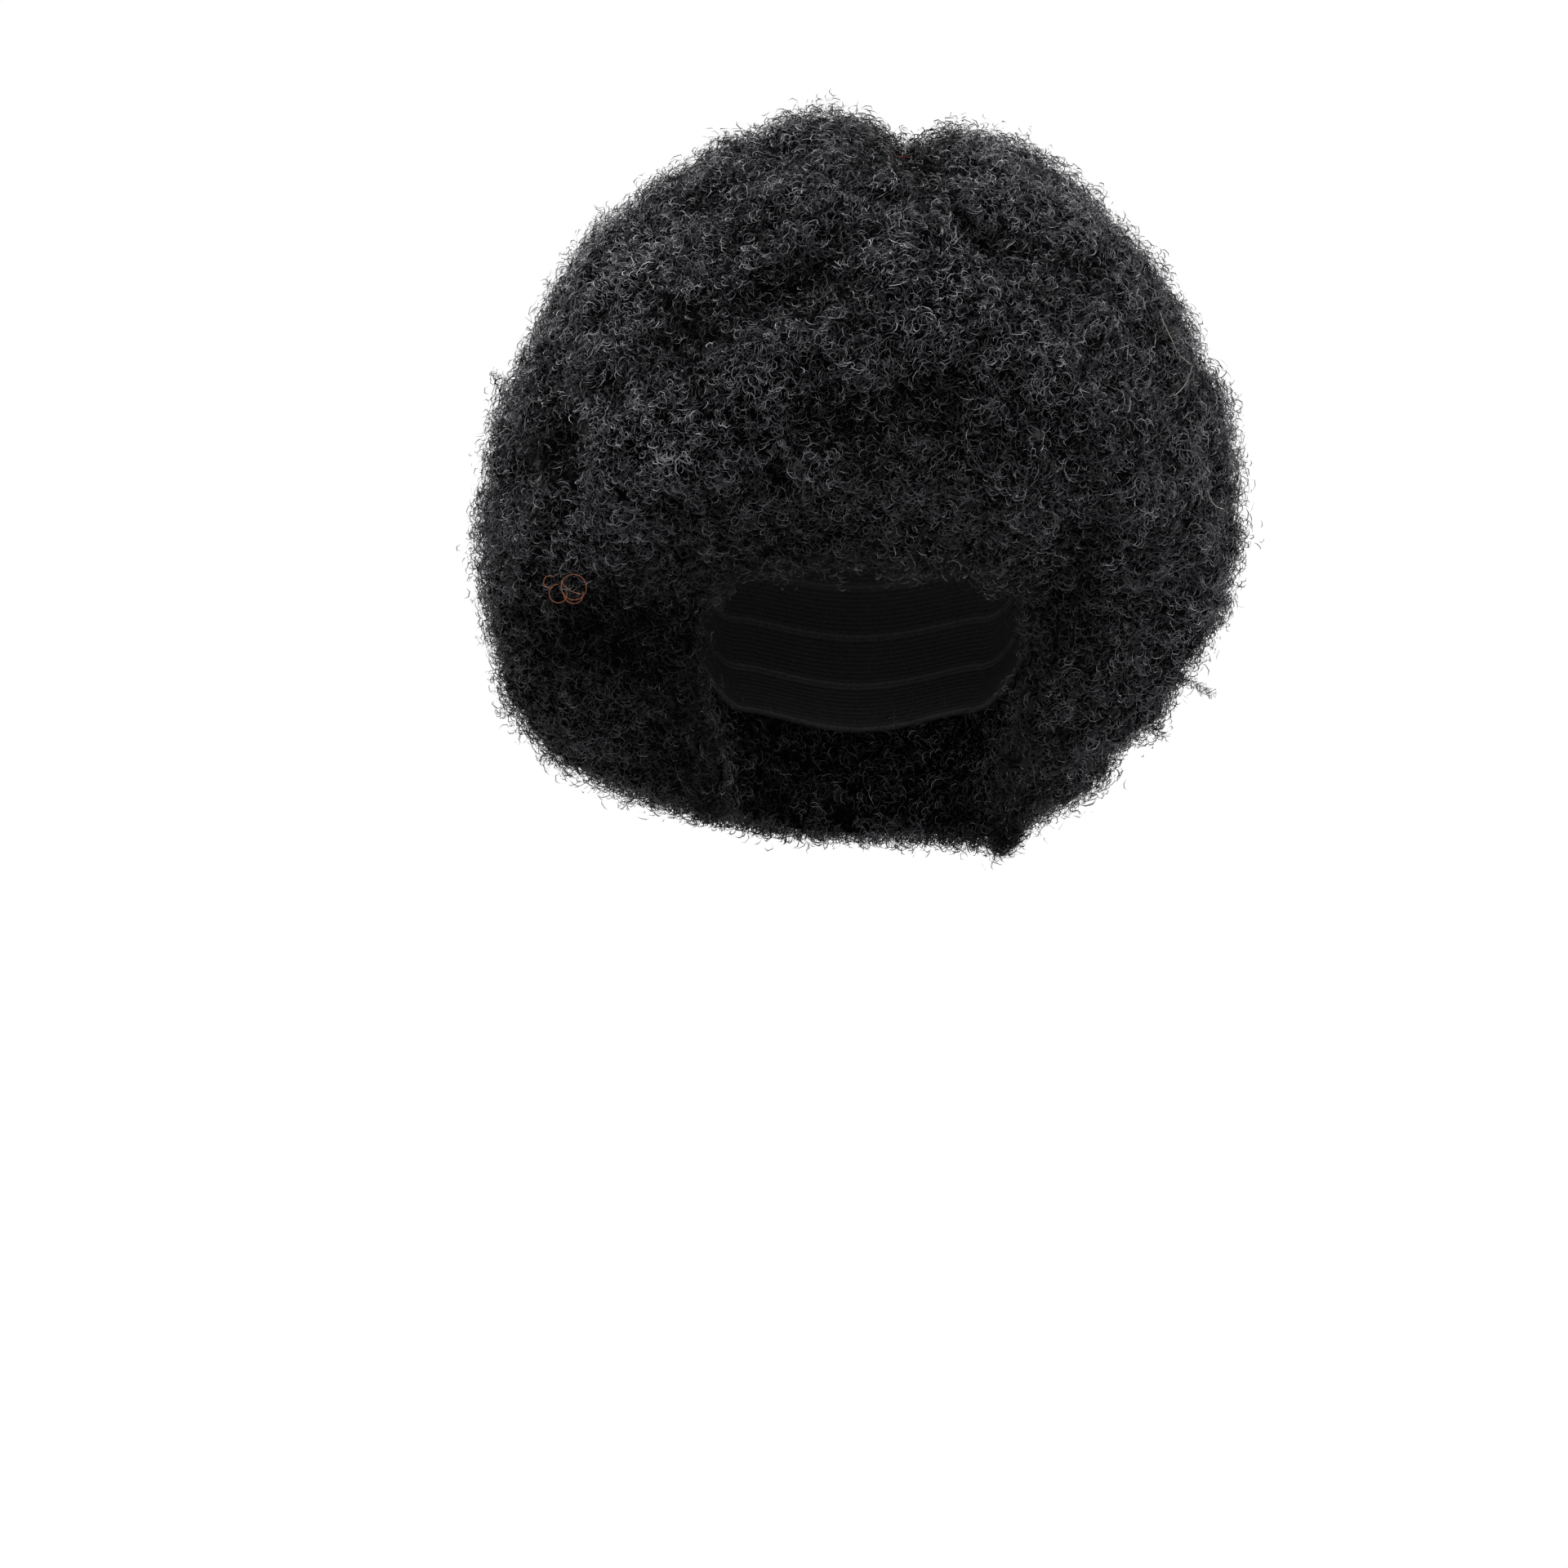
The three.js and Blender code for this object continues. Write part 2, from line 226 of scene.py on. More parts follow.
def lobe_relief(points, weight=1.0):
    """A bell curve for each swell or hollow of the front, by weight, less the furrow over the top."""
    x, y, z = points[..., 0:1], points[..., 1], points[..., 2:3]
    bells = np.exp(-(((x - LOBES[:, 0]) / LOBES[:, 2]) ** 2) - ((z - LOBES[:, 1]) / LOBES[:, 3]) ** 2)
    swells = (bells * weight * LOBES[:, 4]).sum(-1) * between(-y, 0, FRONT_FADE)
    furrow = np.exp(-(((x[..., 0] - FURROW["x"]) / FURROW["wide"]) ** 2))
    return swells - FURROW["deep"] * furrow * between(z[..., 0], FURROW["from_z"], FURROW["to_z"])


edge_azimuth = np.arange(89.0)
edge_height = -column_at(FACE_EDGE, "depth", "azimuth", edge_azimuth, straight=True)


def depth_at_edge(azimuth, z):
    """0 at the edge of the front opening and 1 a thumb's length from it: the sine of the distance."""
    arc = np.radians(from_front(azimuth))[..., None] - np.radians(edge_azimuth)
    distance = np.hypot(arc * EDGE_RADIUS, z[..., None] - edge_height).min(-1)
    return np.sin(np.clip(distance / EDGE_ROUND, 0, 1) * np.pi / 2)


def hair_point(azimuth, angle):
    """The outline moved out by its relief, then drawn to the hollow by its depth at the front opening."""
    outline = outline_point(azimuth, angle)
    relief = (lock_relief(outline) + lobe_relief(outline)) * between(180 - angle, 0, LIP_FADE)
    full = outline + unit(outline - MIDDLE) * relief[..., None]
    depth = depth_at_edge(azimuth, outline[..., 2])[..., None]
    thin = head_point(azimuth, outline[..., 2], LINING_OUT + EDGE_THIN)
    return np.where(depth < 1, thin + (full - thin) * depth, full)


print("locks:", LOCKS["count"], "relief at the top:", lock_relief(np.array([[0.0, 0.0, TOP]])).round(2))

# %% [markdown]
# ## Sections
# The hair is sewn on in sections: the crown, the fringe, both sides and the back. Each could have a mesh of
# its own to start from, but two numbers give any place in it: how far across it is, and how far down. Beside
# the front opening the columns follow the edge.

# %% Places in a section
CROWN_ANGLE, CROWN_SHARE = 48.0, 0.4
# The lining passes the cap's rim at this share down
RIM_SHARE = 0.6
# A side's columns crowd to the front opening, fully from the second depth on, the fringe's rows to its lip
SIDE_CROWD, SIDE_CROWD_DEPTH, FRINGE_CROWD = 0.5, (20, 90), 1.5
SECTIONS = {
    "hair_crown": (0.0, 360.0),
    "hair_fringe": (-54.0, 54.0),
    "hair_left": (54.0, 126.0),
    "hair_back": (126.0, 234.0),
    "hair_right": (234.0, 306.0),
}


def section_azimuth(name, across, z):
    """The azimuth at a share across a section: even, or crowded towards the edge of the front opening."""
    start, stop = SECTIONS[name]
    crowd = 1 + SIDE_CROWD * between(-z, *SIDE_CROWD_DEPTH)
    beside = column_at(FACE_EDGE, "azimuth", "depth", -z, straight=True)
    if name == "hair_left":
        start = np.maximum(start, beside)
        return start + (stop - start) * across**crowd
    if name == "hair_right":
        stop = np.minimum(stop, 360 - beside)
        return stop + (start - stop) * (1 - across) ** crowd
    return start + (stop - start) * across + 0 * z


def lip_angle(azimuth):
    """The outline's angle at the fringe's edge, from the edge's height."""
    z = -column_at(FACE_EDGE, "depth", "azimuth", from_front(azimuth), straight=True)
    names = ["level", "foot", "fullness"]
    level, foot, full = [column_at(OUTLINE, name, "azimuth", azimuth % 360) for name in names]
    lower = 90 + np.degrees(np.arcsin(np.clip((level - z) / (level - foot), 0, 1) ** (1 / full)))
    return np.where(z > level, np.degrees(np.arccos(np.clip((z - level) / (TOP - level), -1, 1))), lower)


def section_skin(name, across, down):
    """A point on the outside of a section, from its shares across and down."""
    if name == "hair_crown":
        return hair_point(across * 360, down * CROWN_ANGLE)
    level_row = section_azimuth(name, across, np.zeros_like(down))
    lowest = lip_angle(level_row) if name == "hair_fringe" else 180.0
    crowded = 1 - (1 - down) ** FRINGE_CROWD if name == "hair_fringe" else down
    angle = CROWN_ANGLE + (lowest - CROWN_ANGLE) * crowded
    azimuth = level_row
    for _ in range(2):
        azimuth = section_azimuth(name, across, outline_point(azimuth, angle)[..., 2])
    return hair_point(azimuth, angle)


def section_lining(name, across, down):
    """A point on the inside of a section: on the cap down to its rim, then on the hollow to the lip."""
    if name == "hair_crown":
        return cap_point(across * 360, down * CROWN_SHARE, LINING_OUT)
    azimuth = section_azimuth(name, across, np.zeros_like(down))
    foot = section_skin(name, across, np.ones_like(down))[..., 2]
    rim = cap_point(azimuth, 1.0, LINING_OUT)[..., 2]
    on_cap = CROWN_SHARE + (1 - CROWN_SHARE) * np.clip(down / RIM_SHARE, 0, 1)
    z_cap = cap_point(azimuth, on_cap, LINING_OUT)[..., 2]
    cap_side = cap_point(section_azimuth(name, across, z_cap), on_cap, LINING_OUT)
    z_neck = rim + (foot - rim) * np.clip((down - RIM_SHARE) / (1 - RIM_SHARE), 0, 1)
    neck_side = head_point(section_azimuth(name, across, z_neck), z_neck, LINING_OUT)
    return np.where((down < RIM_SHARE)[..., None], cap_side, neck_side)


def even_shares(columns, rows, top=0.0):
    """Shares across and down at every point of an even grid, whose first row is a share from the top."""
    down, across = np.meshgrid(np.linspace(top, 1, rows), np.linspace(0, 1, columns), indexing="ij")
    return across, down


def grid_of(surface, name, columns, rows, top=0.0):
    """A surface on an even grid: rows of points from the top down, columns from one side to the other."""
    return surface(name, *even_shares(columns, rows, top))


for name in SECTIONS:
    skin = grid_of(section_skin, name, columns=40, rows=40)
    low, high = [np.array(corner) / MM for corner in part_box(name)]
    print(name, "differs from its solid's box by", np.abs(skin.max((0, 1)) - high).max().round(1), "mm")

# %% [markdown]
# ## From arrays to meshes
# Blender takes a mesh as flat lists of corners. They could be added one by one, but that is slow for hundreds
# of thousands of faces. One helper hands over whole arrays of points and faces, rides the piece on the
# frame's body, and hides the solids it stands for.

# %% Mesh helpers
def new_piece(name, points, faces, material, replaces):
    """Puts points (millimetres) and faces of three or four corners into a mesh, tied to the frame."""
    mesh = bpy.data.meshes.new(name)
    mesh.vertices.add(len(points))
    mesh.vertices.foreach_set("co", (points * MM).astype(np.float32).ravel())
    mesh.loops.add(faces.size)
    mesh.loops.foreach_set("vertex_index", faces.astype(np.int32).ravel())
    mesh.polygons.add(len(faces))
    mesh.polygons.foreach_set("loop_start", np.arange(0, faces.size, faces.shape[1], dtype=np.int32))
    mesh.polygons.foreach_set("use_smooth", np.ones(len(faces), bool))
    mesh.materials.append(material)
    mesh.update(calc_edges=True)
    piece = bpy.data.objects.new(name, mesh)
    bpy.context.collection.objects.link(piece)
    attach(piece, "root")
    if replaces:
        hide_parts(*replaces)
    return piece


def grid_quads(rows, columns, wrap_rows=False, wrap_columns=False):
    """Four corners of every cell of a grid of points, round the end where the grid closes on itself."""
    r = np.arange(rows if wrap_rows else rows - 1)[:, None]
    c = np.arange(columns if wrap_columns else columns - 1)[None, :]
    below, beside = (r + 1) % rows, (c + 1) % columns
    cells = [r * columns + c, below * columns + c, below * columns + beside, r * columns + beside]
    return np.stack(np.broadcast_arrays(*cells), -1).reshape(-1, 4)


def normals_of(grid):
    """Outward normals of a grid of points: the way down crossed with the way across."""
    down, across = np.gradient(grid, axis=0), np.gradient(grid, axis=1)
    return unit(np.cross(down, across))


def paint(piece, label, values):
    """Stores a number on each point of a piece, under a label that a material can read."""
    layer = piece.data.attributes.new(label, "FLOAT", "POINT")
    layer.data.foreach_set("value", np.asarray(values, np.float32).ravel())


print("helpers ready")

# %% [markdown]
# ## Tufts
# Between the large locks and the single curls there are tufts about a finger wide, where curls have caught on
# each other, with sunk gaps between them that are also darkened by painted shade, and also smaller tufts and
# larger clumps. They could be sculpted or displaced by a texture. Here a cell pattern gives them, because the
# mass and the curls can share it: space is cut into cubes, each holds one point at a random place, and a tuft
# is a dome round the nearest point. At the front, on the wearer's right, two clumps part along a sunk crease,
# which is darkened by painted shade too.

# %% Tufts from a cell pattern
TUFT_CELL, TUFT_LEVEL, TUFT_REACH = 13.0, 0.6, 0.85
# The size of a cell, the height and a salt of the tufts, the small ones and the clumps
TUFTS = [(TUFT_CELL, 4.0, 0.0), (6.5, 2.5, 9.0), (36.0, 5.0, 5.0)]
CELL_SEED, NEXT_SEED = np.array([127.1, 311.7, 74.7]), 19.19
CREASE = np.array([[-120, 2], [-119, -26], [-120, -47], [-133, -70], [-140, -92]], float)
CREASE_WIDE, CREASE_DEPTH, CREASE_TOP = 2.6, 4.5, 0.4
CREASE_FADE_BACK, CREASE_FADE_DOWN = (0, 25), (5, 35)
# How strongly each form darkens the fibres with painted shade, and how far painted light and shade
# brighten or darken them at most
SHADE = {"lock": 0.5, "tuft": 0.35, "crease": 0.85, "hollow": 0.17, "swell": 0.1, "contrast": 1.3}
EDGE_SHADE = {"all": 0.68, "low": 0.24, "left": 0.45, "low_from": (90, 112), "left_from": (40, 90)}
SHADE_RANGE, SHADE_FADE = (0.15, 1.6), (-150, -100)
# How much each swell or hollow also shows as painted light or shade, in the order of LOBES
LOBE_SHADE = np.array([1, 1, 1, 1, 1, 0.4, 1, 0.9, 1, 1, 1, 0.6, 1, 0.4, 0.3])


def cell_chance(cells, salt):
    """Three numbers from 0 to 1 for every cell of space, from a sine of its three indices."""
    seed = cells @ CELL_SEED + salt
    return np.stack([fraction_of_sine(seed + k * NEXT_SEED) for k in (1, 2, 3)], -1)


def tuft_relief(points, cell=TUFT_CELL, salt=0.0):
    """1 at the middle of a tuft, eased to 0 most of a cell away, by the nearest of 27 points round about."""
    home = np.floor(points / cell)
    nearest = np.full(points.shape[:-1], np.inf)
    for step in np.stack(np.meshgrid([-1, 0, 1], [-1, 0, 1], [-1, 0, 1]), -1).reshape(-1, 3):
        near = home + step
        reach = np.linalg.norm(near + cell_chance(near, salt) - points / cell, axis=-1)
        nearest = np.minimum(nearest, reach)
    return eased(np.clip(1 - nearest / TUFT_REACH, 0, 1))


def clump_relief(points):
    """Tufts, small ones half their size and clumps three times their size: heights less the skin's level."""
    layers = [(tuft_relief(points, cell, salt) - TUFT_LEVEL) * height for cell, height, salt in TUFTS]
    return sum(layers) - CREASE_DEPTH * crease(points)


def crease(points):
    """1 along a parting at the front and 0 a finger away: a bell curve of the distance to a bent line."""
    flat = points[..., None, [0, 2]]
    start, leg = CREASE[:-1], np.diff(CREASE, axis=0)
    share = np.clip(((flat - start) * leg).sum(-1) / (leg**2).sum(-1), 0, 1)
    distance = np.linalg.norm(flat - start - share[..., None] * leg, axis=-1).min(-1)
    lower = CREASE_TOP + (1 - CREASE_TOP) * between(-points[..., 2], *CREASE_FADE_DOWN)
    return np.exp(-((distance / CREASE_WIDE) ** 2)) * between(-points[..., 1], *CREASE_FADE_BACK) * lower


def painted_light(points):
    """How much light reaches fibres, as painted light and shade: less between locks and tufts, in hollows, in
    the crease and at the front opening.
    """
    lock = np.clip(lock_relief(points) / LOCKS["height"] + LOCKS["level"], 0, 1)
    x, z = points[..., 0], points[..., 2]
    lobe = lobe_relief(points, LOBE_SHADE) * between(z, *SHADE_FADE)
    swell = np.clip(np.exp(np.where(lobe < 0, SHADE["hollow"], SHADE["swell"]) * lobe), *SHADE_RANGE)
    beside = 1 - depth_at_edge(azimuth_of(points), z)
    beside = beside * (EDGE_SHADE["all"] + EDGE_SHADE["low"] * between(-z, *EDGE_SHADE["low_from"]))
    beside = beside * (1 - EDGE_SHADE["left"] * between(x, *EDGE_SHADE["left_from"]))
    tuft = 1 - SHADE["tuft"] + SHADE["tuft"] * tuft_relief(points)
    lit = (1 - SHADE["lock"] + SHADE["lock"] * lock) * tuft * swell
    return lit ** SHADE["contrast"] * (1 - SHADE["crease"] * crease(points)) * (1 - beside)


for cell, height, _ in TUFTS:
    print("tufts", cell, "mm apart and", height, "mm high")

# %% [markdown]
# ## Finishes
# The fibre is black with a cool grey shine. Seen close it is a scribble of thin arcs: pale where a curl turns
# to the light and near black between. The curls on top are real strips, but deep in the mass there are far
# too many to model, so their pale arcs are drawn as painted highlights: thin arcs round scattered points,
# each with its own radius, broken by a noise and cut off where the next point is nearer, and dimmed by
# painted shade where little light comes. A node group makes one layer of arcs, and the mass lays three layers
# over each other.

# %% Node helpers and the drawn curls
VECTORS = "ShaderNodeVectorMath"
NODE_STEP, NODE_START = 200, 24
# Radii in metres, and the noise's values at which an arc fades in
ARC_RADIUS, ARC_FADE = (0.0015, 0.0042), (0.38, 0.6)


def node(tree, kind, inputs=None, **settings):
    """Adds a node, right of the last one, with settings and inputs; an input may be another node's socket."""
    made = tree.nodes.new(kind)
    made.location = NODE_STEP * (len(tree.nodes) - NODE_START), -NODE_STEP * (len(tree.nodes) % 3)
    for key, value in settings.items():
        setattr(made, key, value)
    for key, value in (inputs or {}).items():
        if isinstance(value, bpy.types.NodeSocket):
            tree.links.new(value, made.inputs[key])
        else:
            made.inputs[key].default_value = value
    return made


def maths(tree, operation, *values, kind="ShaderNodeMath"):
    """Adds a node that reckons with sockets or values, and gives the socket of its result."""
    return node(tree, kind, dict(enumerate(values)), operation=operation).outputs[0]


def smooth_step(tree, value, low, high, first=0.0, last=1.0):
    """Adds an eased step of a value: first up to low, last from high on."""
    ends = {"Value": value, "From Min": low, "From Max": high, "To Min": first, "To Max": last}
    return node(tree, "ShaderNodeMapRange", ends, interpolation_type="SMOOTHSTEP").outputs["Result"]


def new_finish(name, roughness, gloss):
    """A material whose shader has one roughness and gloss all over, with its nodes and that shader."""
    material = bpy.data.materials.new(name)
    material.use_nodes = True
    shader = material.node_tree.nodes["Principled BSDF"]
    shader.inputs["Roughness"].default_value = roughness
    shader.inputs["Specular IOR Level"].default_value = gloss
    return material, material.node_tree, shader


def colour_between(tree, shader, share, dark, pale):
    """Gives the shader a colour that goes from dark to pale by a share."""
    colour = node(tree, "ShaderNodeMix", {"Factor": share}, data_type="RGBA")
    colour.inputs[6].default_value = (*dark, 1)
    colour.inputs[7].default_value = (*pale, 1)
    tree.links.new(colour.outputs[2], shader.inputs["Base Color"])


def drawn_curls_group():
    """Arcs round scattered points: a smooth step of |distance along the surface - the point's own radius|."""
    group = bpy.data.node_groups.new("Drawn curls", "ShaderNodeTree")
    for label in ("Vector", "Normal"):
        group.interface.new_socket(label, in_out="INPUT", socket_type="NodeSocketVector")
    for label, value in (("Scale", 200.0), ("Thickness", 0.00015)):
        group.interface.new_socket(label, in_out="INPUT", socket_type="NodeSocketFloat").default_value = value
    group.interface.new_socket("Lines", in_out="OUTPUT", socket_type="NodeSocketFloat")
    entry = node(group, "NodeGroupInput")
    place, scale = entry.outputs["Vector"], entry.outputs["Scale"]
    cells = node(group, "ShaderNodeTexVoronoi", {"Vector": place, "Scale": scale})
    away = maths(group, "SUBTRACT", place, cells.outputs["Position"], kind=VECTORS)
    along = maths(group, "CROSS_PRODUCT", away, entry.outputs["Normal"], kind=VECTORS)
    distance = node(group, VECTORS, {0: along}, operation="LENGTH")
    own = node(group, "ShaderNodeSeparateColor", {"Color": cells.outputs["Color"]})
    radius = node(group, "ShaderNodeMapRange", {
        "Value": own.outputs["Red"], "To Min": ARC_RADIUS[0], "To Max": ARC_RADIUS[1]})
    off = maths(group, "SUBTRACT", distance.outputs["Value"], radius.outputs["Result"])
    size = maths(group, "ABSOLUTE", off)
    ring = smooth_step(group, size, 0.0, entry.outputs["Thickness"], 1.0, 0.0)
    noise = node(group, "ShaderNodeTexNoise", {"Vector": place, "Scale": scale, "Detail": 0.0})
    arcs = smooth_step(group, noise.outputs["Fac"], *ARC_FADE)
    node(group, "NodeGroupOutput", {"Lines": maths(group, "MULTIPLY", ring, arcs)})
    return group


DRAWN_CURLS = drawn_curls_group()
print("node group:", DRAWN_CURLS.name)

# %% The finish of the mass
# The black of the fibre, and the pale of the drawn curls, which are painted highlights
FIBRE_DARK, MASS_HIGHLIGHT = (0.002, 0.002, 0.0022), (0.12, 0.12, 0.132)
RING_SCALES = [120.0, 170.0, 240.0]
LAYER_STEP = np.array([0.37, 0.11, 0.23])
SWAY_SCALE, SWAY = 140.0, (0.004, 0.004, 0.004)


def mass_finish():
    """Near-black fibre with layers of drawn curls as painted highlights, bent by a noise and dimmed by
    painted shade where little light comes.
    """
    material, tree, shader = new_finish("hair mass", 1.0, 0.0)
    where = node(tree, "ShaderNodeTexCoord")
    sway = node(tree, "ShaderNodeTexNoise", {
        "Vector": where.outputs["Object"], "Scale": SWAY_SCALE, "Detail": 0.0})
    swayed = [sway.outputs["Color"], SWAY, where.outputs["Object"]]
    bent = maths(tree, "MULTIPLY_ADD", *swayed, kind=VECTORS)
    total = 0.0
    for k, scale in enumerate(RING_SCALES):
        moved = maths(tree, "ADD", bent, k * LAYER_STEP, kind=VECTORS)
        drawn = node(tree, "ShaderNodeGroup", {
            "Vector": moved, "Normal": where.outputs["Normal"], "Scale": scale}, node_tree=DRAWN_CURLS)
        total = maths(tree, "MAXIMUM", total, drawn.outputs["Lines"])
    light = node(tree, "ShaderNodeAttribute", attribute_name="tone")
    shine = maths(tree, "MULTIPLY", total, light.outputs["Fac"])
    colour_between(tree, shader, shine, FIBRE_DARK, MASS_HIGHLIGHT)
    return material


MASS_FINISH = mass_finish()
print("finish:", MASS_FINISH.name)

# %% [markdown]
# A fibre is round and glossy, so light runs along its middle as a fine pale line and its sides stay dark. A
# strip is flat and can't do that by itself. It could have more faces, but there are far too many strips, so a
# number across each strip paints that line in as a painted highlight, and a second number gives each strip
# its own tone, times painted light and shade.

# %% The finish of the curls
# A painted highlight line runs along each strip: the share of it that the sides keep, the share of the half
# width it fades over, the gloss, the line's palest colour and the roughness
SIDE_SHADE, HIGHLIGHT_SHARE, FIBRE_GLOSS = 0.05, 0.45, 0.16
CURL_HIGHLIGHT, CURL_ROUGHNESS = (0.85, 0.85, 0.92), 0.42


def curl_finish(name, dark, pale, roughness):
    """Dark to pale by the strip's tone times a painted highlight line: a smooth step of the distance from the
    strip's middle.
    """
    material, tree, shader = new_finish(name, roughness, FIBRE_GLOSS)
    tone = node(tree, "ShaderNodeAttribute", attribute_name="tone")
    across = node(tree, "ShaderNodeAttribute", attribute_name="across")
    side = maths(tree, "ABSOLUTE", across.outputs["Fac"])
    line = smooth_step(tree, side, 0.0, HIGHLIGHT_SHARE, 1.0, SIDE_SHADE)
    shine = maths(tree, "MULTIPLY", tone.outputs["Fac"], line)
    colour_between(tree, shader, shine, dark, pale)
    return material


CURL_FINISH = curl_finish("hair curls", FIBRE_DARK, CURL_HIGHLIGHT, CURL_ROUGHNESS)
print("finish:", CURL_FINISH.name)

# %% [markdown]
# ## The mass under the curls
# Each section gets a closed dark body a few millimetres inside the hair's outside, so that no light shows
# through between the curls. The solid itself could be kept, but it has no tufts. The body is one loop per
# column, down the outside and up the inside, and the tufts raise it. It thins with the hair at the edges, so
# it never comes through the inner side.

# %% Dark bodies
SINK, SINK_SHARE, TUFT_SHARE, FULL_DEPTH = 3.2, 0.4, 0.75, 25.0
EDGE_TRIM, TRIM_FROM = 0.12, (0.46, 0.56)
# In the order of SECTIONS: the share down at which a body ends, and its columns, rows and rows inside
LOWEST = dict(zip(SECTIONS, [1.0, 0.93, 0.995, 0.995, 0.995]))
BODY_GRID = dict(zip(SECTIONS, [(160, 46, 6), (80, 52, 14), (66, 90, 20), (100, 90, 20), (66, 90, 20)]))


def depth_of(points):
    """How thick the hair is under a place: its distance from the hollow at the same height and azimuth."""
    head = head_point(azimuth_of(points), np.minimum(points[..., 2], -1.0), CAP_WALL)
    return np.linalg.norm(points - head, axis=-1)


def raised(points):
    """The height of the tufts at a place, less where the hair is thinner than its full depth."""
    return clump_relief(points) * np.clip(depth_of(points) / FULL_DEPTH, 0, 1)


def trimmed(name, columns, rows):
    """An even grid of shares across and down that stops short of the front opening and the fringe's lip."""
    across, down = even_shares(columns, rows)
    trim = EDGE_TRIM * between(down, *TRIM_FROM)
    if name == "hair_left":
        across = trim + (1 - trim) * across
    if name == "hair_right":
        across = (1 - trim) * across
    return across, down * LOWEST[name]


def sunk_skin(name, columns, rows):
    """The outside of a section moved in along its normals, less where the hair is thin, raised in tufts."""
    skin = section_skin(name, *trimmed(name, columns, rows))
    sink = np.minimum(SINK, SINK_SHARE * depth_of(skin)) - TUFT_SHARE * raised(skin)
    return skin - normals_of(skin) * sink[..., None]


def shut_ends(grid, highest):
    """Adds a column at each end, on the hollow's surface, so that the skin turns in and meets the lining."""
    ends = []
    for column, top in zip((grid[:, :1], grid[:, -1:]), highest):
        ends.append(head_point(azimuth_of(column), np.minimum(column[..., 2], top), LINING_OUT))
    return np.concatenate([ends[0], grid, ends[1]], 1)


def weld(piece):
    """Joins points that lie on each other, which closes the poles."""
    work = bmesh.new()
    work.from_mesh(piece.data)
    bmesh.ops.remove_doubles(work, verts=work.verts, dist=1e-6)
    work.to_mesh(piece.data)
    work.free()


def dark_body(name, columns, rows, lining_rows):
    """A closed body: every column is a loop, down the sunk skin and up the lining."""
    outside = sunk_skin(name, columns, rows)
    inside = section_lining(name, *trimmed(name, columns, lining_rows))[::-1]
    whole_turn = name == "hair_crown"
    if not whole_turn:
        outside = shut_ends(outside, inside[-1, [0, -1], 2])
        inside = np.concatenate([inside[:, :1], inside, inside[:, -1:]], 1)
    grid = np.concatenate([outside, inside])
    grid = grid[:, :-1] if whole_turn else grid
    quads = grid_quads(*grid.shape[:2], wrap_rows=True, wrap_columns=whole_turn)
    points = grid.reshape(-1, 3)
    piece = new_piece(name + "_mass", points, quads, MASS_FINISH, [name])
    # The mass's tone is painted light and shade only: how much light reaches each place
    paint(piece, "tone", painted_light(points))
    weld(piece)
    return piece


for name, (columns, rows, lining_rows) in BODY_GRID.items():
    body = dark_body(name, columns, rows, lining_rows)
    print(body.name, len(body.data.polygons) * 2, "triangles")

# %% [markdown]
# ## Curls
# A curl is a thin strip along part of a helix, pointed at both ends. Tubes would be truer but need many more
# faces. A flat strip would vanish when seen on edge, so each is twisted a little along its length and shows
# from every side. Curls come four together, because fibres that were set on one rod stay close, and most are
# bowed outwards, with their ends in the mass. Four triangles make a strip, so there can be very many.

# %% Strips along helices
def strip_shares(segments):
    """The share along a strip of each of its points: one at each tip, two at every step between."""
    t = np.linspace(0, 1, segments + 1)
    return np.concatenate([t[:1], np.repeat(t[1:-1], 2), t[-1:]])


def strip_points(path, half):
    """The points of strips along paths: one at each tip, and a pair across the path at every step between."""
    pairs = np.stack([path - half, path + half], 2)[:, 1:-1]
    return np.concatenate([path[:, :1], pairs.reshape(len(path), -1, 3), path[:, -1:]], 1)


def helix_strips(centre, axis, side, radius, turns, phase, pitch, width, lean, twist, segments):
    """Points of strips: centre + axis * pitch * turns * (t - 1/2) + radius * (cos w side + sin w over)."""
    t = np.linspace(0, 1, segments + 1)[None, :, None]
    w = phase[:, None, None] + 2 * np.pi * turns[:, None, None] * t
    over = np.cross(axis, side)[:, None]
    spoke = np.cos(w) * side[:, None] + np.sin(w) * over
    path = centre[:, None] + axis[:, None] * ((pitch * turns)[:, None, None] * (t - 0.5))
    path = path + spoke * radius[:, None, None]
    tilt = lean[:, None, None] + twist[:, None, None] * (t - 0.5)
    half = (np.cos(tilt) * axis[:, None] + np.sin(tilt) * spoke) * width[:, None, None] / 2
    return strip_points(path, half)


def strip_faces(strips, segments):
    """Triangles of strips: one at each tip, and two between each pair of points and the next pair."""
    last = 2 * segments - 1
    k = np.arange(1, last - 3, 2)
    body = np.concatenate([np.stack([k, k + 2, k + 3], -1), np.stack([k, k + 3, k + 1], -1)])
    each = np.concatenate([[[0, 1, 2]], body, [[last - 2, last, last - 1]]])
    return (np.arange(strips)[:, None, None] * 2 * segments + each).reshape(-1, 3)


